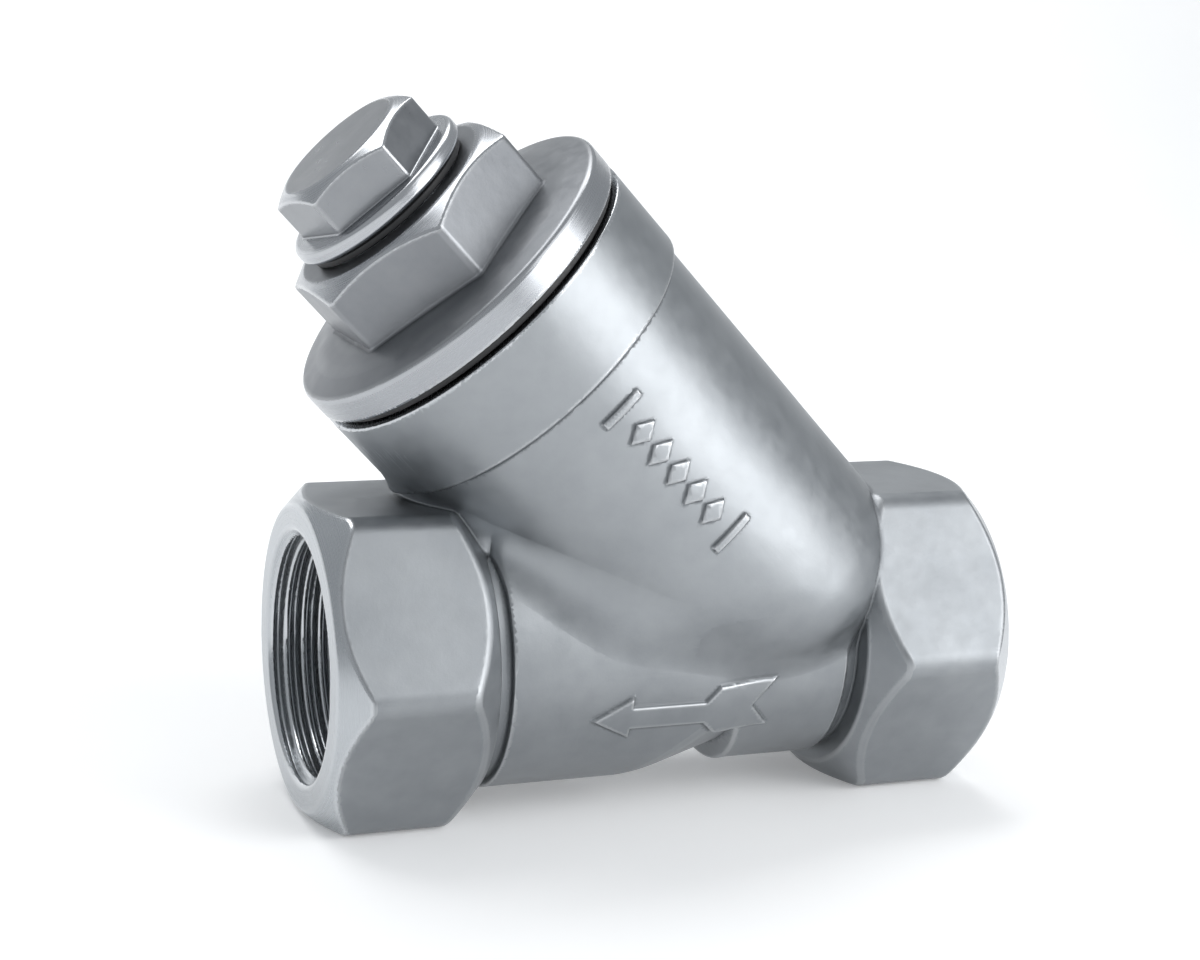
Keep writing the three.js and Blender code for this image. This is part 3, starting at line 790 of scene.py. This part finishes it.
def wire(path, radius, closed):
    """Square-section wire round a line of points in millimetres: points and quads."""
    path = np.array(path, float)
    ahead = np.roll(path, -1, axis=0) - np.roll(path, 1, axis=0)
    if not closed:
        ahead[0], ahead[-1] = path[1] - path[0], path[-1] - path[-2]
    ahead /= np.linalg.norm(ahead, axis=1, keepdims=True)
    outward = path * (1, 1, 0)
    outward /= np.linalg.norm(outward, axis=1, keepdims=True)
    across = np.cross(ahead, outward)
    outward = np.cross(across, ahead)
    count = len(path)
    quarters = np.radians([0, 90, 180, 270])
    corners = [path + radius * (outward * math.cos(a) + across * math.sin(a)) for a in quarters]
    points = np.stack(corners, axis=1).reshape(-1, 3)
    quads = []
    for step in range(count if closed else count - 1):
        after = (step + 1) % count
        for side in range(4):
            other = (side + 1) % 4
            quads.append((step * 4 + side, after * 4 + side, after * 4 + other, step * 4 + other))
    if not closed:
        quads.append((0, 1, 2, 3))
        quads.append(tuple(4 * (count - 1) + k for k in (3, 2, 1, 0)))
    return points, quads


def woven_liner():
    """Plain weave of fine wire: upright wires and hoops that pass in front of and behind each other."""
    middle = (LINER_INNER_R + LINER_OUTER_R) / 2
    swing = (LINER_OUTER_R - LINER_INNER_R) / 2 - WIRE_R - WIRE_GAP
    levels = np.linspace(SHEET_FROM + SCREEN_GAP, SHEET_TO - SCREEN_GAP, HOOP_WIRES)
    turns = np.arange(UPRIGHT_WIRES) * 2 * math.pi / UPRIGHT_WIRES
    points, quads = [], []

    def add(path, closed):
        wire_points, wire_quads = wire(path, WIRE_R, closed)
        base = sum(len(p) for p in points)
        points.append(wire_points)
        quads.extend(tuple(base + k for k in quad) for quad in wire_quads)

    for upright, turn in enumerate(turns):
        path = []
        for hoop, level in enumerate(levels):
            out = middle + swing * (-1) ** (upright + hoop)
            path.append((out * math.cos(turn), out * math.sin(turn), level))
        add(path, False)
    for hoop, level in enumerate(levels):
        path = []
        for upright, turn in enumerate(turns):
            out = middle - swing * (-1) ** (upright + hoop)
            path.append((out * math.cos(turn), out * math.sin(turn), level))
        add(path, True)
    return mesh_object("screen_woven_liner", np.concatenate(points), quads)


def seam_strip():
    """Backing strip over the sheet's seam, with two rows of spot-weld dimples."""
    low, high = SCREEN_FROM + RING_HEIGHT + SCREEN_GAP, SCREEN_TO - RING_HEIGHT - SCREEN_GAP
    columns, rows = 36, 240
    turn, height = np.meshgrid(
        np.linspace(-SEAM_WIDTH / 2, SEAM_WIDTH / 2, columns),
        np.linspace(low, high, rows),
        indexing="ij",
    )
    step = (high - low) / WELD_COUNT
    from_weld = np.abs((height - low) % step - step / 2)
    from_row = np.abs(np.abs(turn) * SEAM_R - WELD_OFFSET)
    dimple = WELD_DEPTH * ease(1 - np.hypot(from_weld, from_row) / WELD_R)
    edge = np.minimum(np.minimum(height - low, high - height), (SEAM_WIDTH / 2 - np.abs(turn)) * SEAM_R)
    outer = SEAM_R + SEAM_THICKNESS - dimple - SEAM_EDGE_DROP * (1 - ease(edge / SEAM_EDGE))
    sheets = [
        np.stack([radius * np.cos(turn), radius * np.sin(turn), height], axis=2).reshape(-1, 3)
        for radius in (outer, SEAM_R)
    ]
    grid = np.arange(columns * rows).reshape(columns, rows)
    quads = np.stack([grid[:-1, :-1], grid[1:, :-1], grid[1:, 1:], grid[:-1, 1:]], axis=2).reshape(-1, 4)
    back = quads[:, ::-1] + grid.size
    border = np.concatenate([grid[:, 0], grid[-1, 1:], grid[-2::-1, -1], grid[0, -2:0:-1]])
    following = np.roll(border, -1)
    wall = np.stack([border, border + grid.size, following + grid.size, following], axis=1)
    return mesh_object("screen_seam_backing", np.concatenate(sheets), np.concatenate([quads, back, wall]))


# ---- finishes ----
CLOUD_SCALE, PATCH_SCALE, GRAIN_SCALE, RING_SCALE = 90, 420, 2600, 9000  # noise cells to a metre
RING_SLANT = 0.31  # rings along a cylinder, as a share of those on a face
NOISE_LOW, NOISE_HIGH = 0.3, 0.7  # most of a noise's values lie between these
TURNED_GAIN, HOLLOW_SHADE_GAIN = 1.4, 0.55  # colour of turned faces and of the painted shade in hollows, as a share of the steel's
# painted highlight: the light colour laid over convex edges
EDGE_HIGHLIGHT_COLOUR = (0.72, 0.73, 0.74)
PATCH_SHARE, EDGE_HIGHLIGHT_SHARE, HOLLOW_SHADE_SHARE = 0.45, 0.35, 0.7  # how far these show in the colour: cast patches, the painted highlight on edges and the painted shade in hollows
TURNED_SHADE_CUT = 0.6  # how much less painted shade a turned hollow has
HOLLOW_ROUGHER, EDGE_SMOOTHER = 0.12, 0.1


class Finish:
    """A material's node tree, with short ways to add and join nodes."""

    def __init__(self, name):
        self.material = bpy.data.materials.new(name)
        self.material.use_nodes = True
        self.tree = self.material.node_tree
        self.shader = self.tree.nodes["Principled BSDF"]

    def node(self, kind, **settings):
        made = self.tree.nodes.new(kind)
        for key, value in settings.items():
            setattr(made, key, value)
        return made

    def link(self, source, target):
        self.tree.links.new(source, target)

    def feed(self, socket, value):
        """Gives a socket a number, a colour or the output of another node."""
        if isinstance(value, (int, float)):
            socket.default_value = value
        elif isinstance(value, tuple):
            socket.default_value = (*value, 1)
        else:
            self.link(value, socket)

    def shade(self, name, value):
        self.feed(self.shader.inputs[name], value)

    def math(self, operation, first, second):
        made = self.node("ShaderNodeMath", operation=operation)
        self.feed(made.inputs[0], first)
        self.feed(made.inputs[1], second)
        return made.outputs[0]

    def coordinates(self, home):
        """Place of a point in a frame of its own, in metres."""
        made = self.node("ShaderNodeMapping", vector_type="TEXTURE")
        made.inputs["Location"].default_value = home.to_translation()
        made.inputs["Rotation"].default_value = home.to_euler()
        self.link(self.node("ShaderNodeTexCoord").outputs["Object"], made.inputs["Vector"])
        return made.outputs[0]

    def noise(self, vector, scale, detail, roughness=0.55):
        made = self.node("ShaderNodeTexNoise")
        values = {"Vector": vector, "Scale": scale, "Detail": detail, "Roughness": roughness}
        for name, value in values.items():
            self.feed(made.inputs[name], value)
        return made.outputs["Fac"]

    def even(self, noise, low, high):
        """A noise spread evenly between two values."""
        return self.spread(noise, NOISE_LOW, NOISE_HIGH, low, high)

    def spread(self, value, low, high, to_low, to_high):
        made = self.node("ShaderNodeMapRange")
        for socket, number in zip(made.inputs[1:5], (low, high, to_low, to_high)):
            socket.default_value = number
        self.link(value, made.inputs[0])
        return made.outputs[0]

    def mix(self, share, first, second):
        made = self.node("ShaderNodeMix", data_type="FLOAT")
        for index, value in ((0, share), (2, first), (3, second)):
            self.feed(made.inputs[index], value)
        return made.outputs[0]

    def bump(self, height, strength, depth, under=None):
        """Relief of that depth in millimetres, on top of another relief."""
        made = self.node("ShaderNodeBump")
        for name, value in (("Height", height), ("Strength", strength), ("Distance", depth * MM)):
            self.feed(made.inputs[name], value)
        if under:
            self.link(under, made.inputs["Normal"])
        return made.outputs[0]

    def blend(self, share, first, second):
        """Mix of two colours, each a socket or a tuple."""
        made = self.node("ShaderNodeMix", data_type="RGBA")
        for index, value in ((0, share), (6, first), (7, second)):
            self.feed(made.inputs[index], value)
        return made.outputs[2]


def surface_masks(finish, has_masks):
    """Edge, hollow and turned shares, from the corner colour or all zero."""
    if has_masks:
        colour = finish.node("ShaderNodeAttribute", attribute_name="surface").outputs["Color"]
        masks = finish.node("ShaderNodeSeparateColor")
        finish.link(colour, masks.inputs[0])
        return masks.outputs
    return [finish.math("MULTIPLY", 0.0, 0.0) for _ in range(3)]


def turning_marks(finish, place):
    """Fine rings round the home frame's Z axis, on its faces and along its cylinders."""
    split = finish.node("ShaderNodeSeparateXYZ")
    finish.link(place, split.inputs[0])
    east, north, along = split.outputs
    square = finish.math("ADD", finish.math("MULTIPLY", east, east), finish.math("MULTIPLY", north, north))
    radius = finish.math("SQRT", square, 0.0)
    rings = finish.node("ShaderNodeTexNoise", noise_dimensions="1D")
    rings.inputs["Scale"].default_value = RING_SCALE
    rings.inputs["Detail"].default_value = 2
    finish.link(finish.math("ADD", radius, finish.math("MULTIPLY", along, RING_SLANT)), rings.inputs["W"])
    return rings.outputs["Fac"]


def steel_colour(finish, light, dark, cloud, patch, masks):
    edge, hollow, turned = masks
    tone = finish.mix(PATCH_SHARE, finish.even(cloud, 0, 1), finish.even(patch, 0, 1))
    colour = finish.blend(tone, dark, light)
    colour = finish.blend(turned, colour, tuple(TURNED_GAIN * c for c in light))
    # painted highlight along convex edges
    colour = finish.blend(finish.math("MULTIPLY", edge, EDGE_HIGHLIGHT_SHARE), colour, EDGE_HIGHLIGHT_COLOUR)
    # painted shade in hollows, with less of it on turned faces
    painted_shade = finish.math("SUBTRACT", hollow, finish.math("MULTIPLY", turned, TURNED_SHADE_CUT))
    painted_shade = finish.math("MULTIPLY", finish.math("MAXIMUM", painted_shade, 0.0), HOLLOW_SHADE_SHARE)
    return finish.blend(painted_shade, colour, tuple(HOLLOW_SHADE_GAIN * c for c in dark))


def steel_roughness(finish, cast_rough, turned_rough, patch, rings, masks):
    edge, hollow, turned = masks
    cast = finish.even(patch, cast_rough - 0.05, cast_rough + 0.05)
    cast = finish.math("ADD", cast, finish.math("MULTIPLY", hollow, HOLLOW_ROUGHER))
    ringed = finish.even(rings, turned_rough - 0.03, turned_rough + 0.04)
    rough = finish.mix(turned, cast, ringed)
    return finish.math("SUBTRACT", rough, finish.math("MULTIPLY", edge, EDGE_SMOOTHER))


def steel_relief(finish, cloud, patch, grain, rings, turned):
    """Slow waves in the casting, with blasted grain or turning marks on them."""
    blasted = finish.math("ADD", finish.math("MULTIPLY", grain, 0.55), finish.math("MULTIPLY", patch, 0.45))
    fine = finish.mix(turned, blasted, finish.math("MULTIPLY", rings, 0.03))
    waves = finish.bump(cloud, strength=0.5, depth=0.25)
    return finish.bump(fine, strength=0.35, depth=0.05, under=waves)


def steel(name, home, light, dark, cast_rough, turned_rough, has_masks):
    """Stainless steel: blasted where cast, ringed where turned, smoother and with a painted highlight on its
    edges, rougher and with painted shade in its hollows.
    """
    finish = Finish(name)
    place = finish.coordinates(home)
    masks = surface_masks(finish, has_masks)
    cloud = finish.noise(place, CLOUD_SCALE, detail=3)
    patch = finish.noise(place, PATCH_SCALE, detail=4)
    grain = finish.noise(place, GRAIN_SCALE, detail=2, roughness=0.7)
    rings = turning_marks(finish, place)
    finish.shade("Metallic", 1.0)
    finish.shade("Base Color", steel_colour(finish, light, dark, cloud, patch, masks))
    finish.shade("Roughness", steel_roughness(finish, cast_rough, turned_rough, patch, rings, masks))
    finish.shade("Normal", steel_relief(finish, cloud, patch, grain, rings, masks[2]))
    return finish.material


def ptfe(name):
    """PTFE coloured nearly black, as painted shade for the dark gap it sits in: waxy, with faint pressing
    marks.
    """
    finish = Finish(name)
    place = finish.node("ShaderNodeTexCoord").outputs["Object"]
    cloud = finish.noise(place, scale=160, detail=4)
    grain = finish.noise(place, scale=1800, detail=3)
    # painted shade: nearly black, for the shaded gap round the ring
    colour = finish.blend(finish.spread(cloud, 0.35, 0.65, 0, 1), (0.02, 0.02, 0.021), (0.035, 0.035, 0.036))
    finish.shade("Base Color", colour)
    finish.shade("Roughness", finish.even(grain, 0.45, 0.6))
    finish.shade("Normal", finish.bump(grain, strength=0.2, depth=0.05))
    return finish.material


def backdrop_paper():
    """Pale paper that glows a little, so that its shadows stay light."""
    finish = Finish("backdrop_paper")
    place = finish.node("ShaderNodeTexCoord").outputs["Object"]
    mottle = finish.noise(place, scale=12, detail=4)
    colour = finish.blend(finish.even(mottle, 0, 1), (0.9, 0.905, 0.91), (0.93, 0.93, 0.93))
    finish.shade("Base Color", colour)
    finish.shade("Roughness", 0.9)
    finish.shade("Emission Color", (1, 1, 1))
    finish.shade("Emission Strength", 0.17)
    return finish.material


# ---- stage ----
# name, direction from the object, distance, width, height in metres, radiance
SOFTBOXES = (
    ("right_front", (0.68, -0.68, 0.27), 0.5, 0.34, 0.36, 3.2),
    ("upper_front", (0.35, -0.62, 0.7), 0.75, 0.6, 0.45, 1.2),
    ("upper_back", (-0.1, 0.45, 0.9), 0.9, 0.9, 0.5, 3.2),
)


def backdrop(paper):
    """Pale sweep: floor, a round rise behind the object and a wall."""
    floor_y, rise, wall = 0.45, 0.25, 0.27
    profile = [(-1.5, 0.0), (floor_y, 0.0)]
    for turn in np.radians(range(5, 91, 5)):
        profile.append((floor_y + rise * math.sin(turn), rise * (1 - math.cos(turn))))
    profile.append((floor_y + rise, wall))
    width = 2.5
    points = [(side * width / MM, y / MM, z / MM) for y, z in profile for side in (-1, 1)]
    quads = [(2 * i, 2 * i + 1, 2 * i + 3, 2 * i + 2) for i in range(len(profile) - 1)]
    sweep = mesh_object("backdrop", points, quads)
    sweep.data.materials.append(paper)


def softbox(name, place, target, width, height, power):
    """Rectangular light that faces its target."""
    light = bpy.data.lights.new(name, "AREA")
    light.shape = "RECTANGLE"
    light.size, light.size_y = width, height
    light.energy = power
    lamp = add_object(name, light)
    lamp.location = place
    lamp.rotation_euler = (Vector(target) - Vector(place)).to_track_quat("-Z", "Y").to_euler()


def studio():
    world = bpy.data.worlds.new("studio")
    world.use_nodes = True
    sky = world.node_tree.nodes["Background"].inputs
    sky["Color"].default_value = (0.92, 0.96, 1, 1)
    sky["Strength"].default_value = 0.5
    bpy.context.scene.world = world
    bpy.context.scene.view_settings.view_transform = "Standard"
    middle = (cad_box[0] + cad_box[1]) / 2
    for name, way, distance, width, height, radiance in SOFTBOXES:
        place = middle + Vector(way).normalized() * distance
        softbox(name, place, middle, width, height, radiance * math.pi * width * height)


CAMERA_AZIMUTH = math.radians(-22.0149)
CAMERA_ELEVATION = math.radians(11.9097)
CAMERA_ROLL = math.radians(2.4915)
CAMERA_DISTANCE = 299.31
CAMERA_LENS = 68.17
CAMERA_TARGET = (-5.905, 0, 21.57)  # millimetres from mid-run


def camera():
    """The photo's view: turned about the target, then rolled about its own line of sight."""
    data = bpy.data.cameras.new("camera")
    data.lens = CAMERA_LENS
    data.sensor_width = 36
    data.sensor_fit = "HORIZONTAL"
    data.clip_start, data.clip_end = 0.01, 10
    seen_by = add_object("camera", data)
    level = math.cos(CAMERA_ELEVATION)
    back = Vector((
        math.sin(CAMERA_AZIMUTH) * level,
        -math.cos(CAMERA_AZIMUTH) * level,
        math.sin(CAMERA_ELEVATION),
    ))
    right = (-back).cross(Vector((0, 0, 1))).normalized()
    up = right.cross(-back)
    tilted_right = right * math.cos(CAMERA_ROLL) + up * math.sin(CAMERA_ROLL)
    tilted_up = up * math.cos(CAMERA_ROLL) - right * math.sin(CAMERA_ROLL)
    place = RUN_CENTRE + Vector(CAMERA_TARGET) * MM + back * CAMERA_DISTANCE * MM
    turn = Matrix((tilted_right, tilted_up, back)).transposed().to_4x4()
    seen_by.matrix_world = Matrix.Translation(place) @ turn
    bpy.context.scene.camera = seen_by


# ---- assembly ----
# name, home, colours of light and dark patches, roughness as cast and as turned, whether the mesh has masks
STEELS = (
    ("cast_stainless", RUN_TURNING_FRAME, (0.335, 0.35, 0.365), (0.255, 0.27, 0.285), 0.46, 0.27, True),
    # painted shade: the cap's cast steel is coloured darker than the body's
    ("cast_stainless_cap_shaded", BRANCH_FRAME, (0.285, 0.295, 0.31), (0.215, 0.225, 0.24), 0.4, 0.27, True),
    ("machined_stainless", BRANCH_FRAME, (0.33, 0.34, 0.355), (0.26, 0.27, 0.285), 0.32, 0.26, True),
    ("rolled_stainless", BRANCH_FRAME, (0.5, 0.515, 0.53), (0.41, 0.425, 0.44), 0.32, 0.3, False),
)


def place_piece(piece, home, material, body, node):
    piece.data.transform(home)
    piece.data.materials.clear()
    piece.data.materials.append(material)
    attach(piece, body)
    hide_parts(node)


def build():
    casting, cap_steel, plug_steel, sheet_steel = [steel(*values) for values in STEELS]
    seal = ptfe("dark_ptfe")
    place_piece(make_body(), RUN_FRAME, casting, "valve_body", "body")
    on_branch = (
        (make_cap(), cap_steel, "cast_steel", "cap", "cap"),
        (make_plug(), plug_steel, "machined_steel", "plug", "blowdown_plug"),
        (gasket("cap_sealing_ring", CAP_GASKET), seal, "ptfe", "cap_seal", "cap_gasket"),
        (gasket("plug_sealing_ring", PLUG_GASKET), seal, "ptfe", "plug_seal", "plug_gasket"),
    )
    for piece, material, slot, body, node in on_branch:
        place_piece(piece, BRANCH_FRAME, material, body, node)
    screen = (
        (perforated_tube(), "screen_perforated_tube"),
        (woven_liner(), "screen_mesh_liner"),
        (end_ring("screen_lower_ring", SCREEN_FROM, 1), "screen_bottom_ring"),
        (end_ring("screen_upper_ring", SCREEN_TO, -1), "screen_top_ring"),
        (seam_strip(), "screen_seam_strip"),
    )
    for piece, node in screen:
        piece.data.set_sharp_from_angle(angle=SHARP_ANGLE)
        place_piece(piece, BRANCH_FRAME, sheet_steel, "screen", node)


build()
backdrop(backdrop_paper())
studio()
camera()
